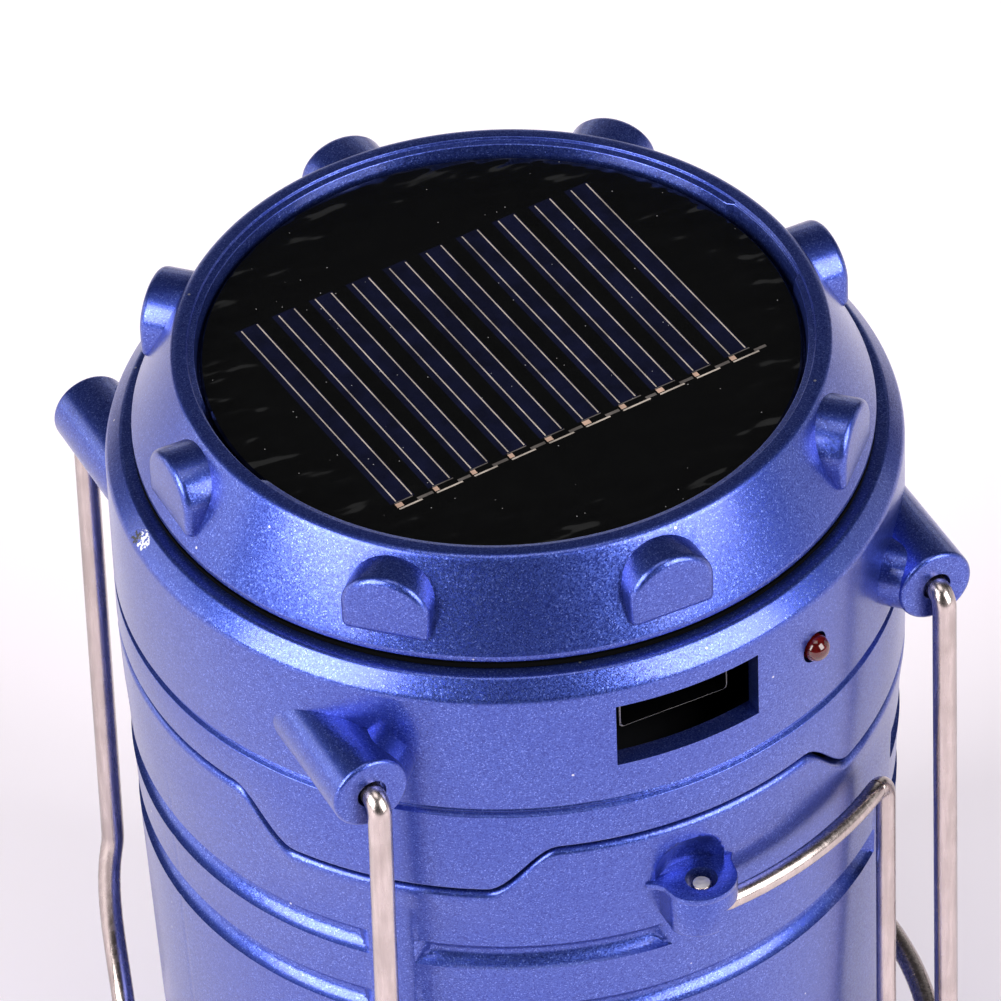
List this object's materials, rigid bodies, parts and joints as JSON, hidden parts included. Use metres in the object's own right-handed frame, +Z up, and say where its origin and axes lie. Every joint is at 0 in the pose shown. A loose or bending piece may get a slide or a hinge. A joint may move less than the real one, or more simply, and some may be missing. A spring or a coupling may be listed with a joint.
{
  "type": "solar lantern",
  "caption": "Collapsible camping lantern with a solar panel on top, a USB socket, wire bail handles, a side handle and a torch in its base; the head pulls up to uncover the lamp.",
  "frame": {"origin": "On the floor, on the axis of the round body, in the plane of the torch bezel's bottom rim.", "axes": "+Z up along the body's axis and the head's travel, -Y front with the USB socket, +X to the right of a person facing the USB socket."},
  "size_m": [0.095, 0.0909, 0.125],
  "materials": {
    "metallic_blue": "metallic blue paint with fine flake on moulded plastic",
    "panel_resin": "glossy black resin over dark blue solar cells",
    "black_plastic": "satin black plastic",
    "black_rubber": "matt black rubber",
    "stainless_wire": "drawn stainless wire",
    "nickel": "nickel plated sheet",
    "zinc": "zinc plated",
    "chrome_plating": "vacuum metallised plastic, mirror bright",
    "clear_plastic": "clear moulded plastic",
    "white_plastic": "white plastic",
    "circuit_board": "green solder mask",
    "red_light": "red diffused lens",
    "lamp_light": "clear and yellow light-emitting diode",
    "cell_sleeve": "cell in a shrink sleeve"
  },
  "bodies": {
    "base": {"lower_casing": "metallic_blue", "guide_collar": "black_plastic", "torch_bezel": "metallic_blue", "torch_lens": "clear_plastic", "torch_reflector": "chrome_plating", "torch_led": "lamp_light", "torch_board": "circuit_board", "torch_mount": "white_plastic", "switch_body": "black_plastic", "base_screw_1": "zinc", "base_screw_2": "zinc", "base_screw_3": "zinc"},
    "head": {"head_housing": "metallic_blue", "solar_cap": "metallic_blue", "cap_gasket": "black_rubber", "solar_panel": "panel_resin", "head_deck": "black_plastic", "main_board": "circuit_board", "usb_shell": "nickel", "usb_tongue": "white_plastic", "charge_light": "red_light", "battery_cell": "cell_sleeve", "battery_cradle": "white_plastic", "battery_tab_left": "nickel", "battery_tab_right": "nickel", "lamp_tube": "clear_plastic", "tube_base": "white_plastic", "lamp_cone": "chrome_plating", "lamp_board": "white_plastic", "lamp_led_1": "lamp_light", "lamp_led_2": "lamp_light", "lamp_led_3": "lamp_light", "lamp_led_4": "lamp_light", "lamp_led_5": "lamp_light", "lamp_led_6": "lamp_light", "cap_screw_1": "zinc", "cap_screw_2": "zinc", "cap_screw_3": "zinc", "cap_screw_4": "zinc"},
    "left_bail": {"left_bail": "stainless_wire"},
    "right_bail": {"right_bail": "stainless_wire"},
    "side_handle": {"side_handle": "stainless_wire"},
    "push_button": {"push_button": "black_plastic"}
  },
  "joints": [
    {"name": "head_slide", "type": "slide", "parent": "base", "child": "head", "axis": [0, 0, 1], "range_m": [0, 0.055]},
    {"name": "left_bail_hinge", "type": "hinge", "parent": "head", "child": "left_bail", "pos_m": [-0.0336, 0, 0.1024], "axis": [0, 1, 0], "range_deg": [0, 192]},
    {"name": "right_bail_hinge", "type": "hinge", "parent": "head", "child": "right_bail", "pos_m": [0.0336, 0, 0.1024], "axis": [0, -1, 0], "range_deg": [0, 192]},
    {"name": "side_handle_hinge", "type": "hinge", "parent": "base", "child": "side_handle", "pos_m": [0, -0.0445, 0.0784], "axis": [0, 0, -1], "range_deg": [0, 55]},
    {"name": "button_press", "type": "slide", "parent": "base", "child": "push_button", "axis": [-0.1323, 0.9912, 0], "range_m": [0, 0.0012], "stiffness_N_per_m": 800, "springref_m": -0.001}
  ]
}
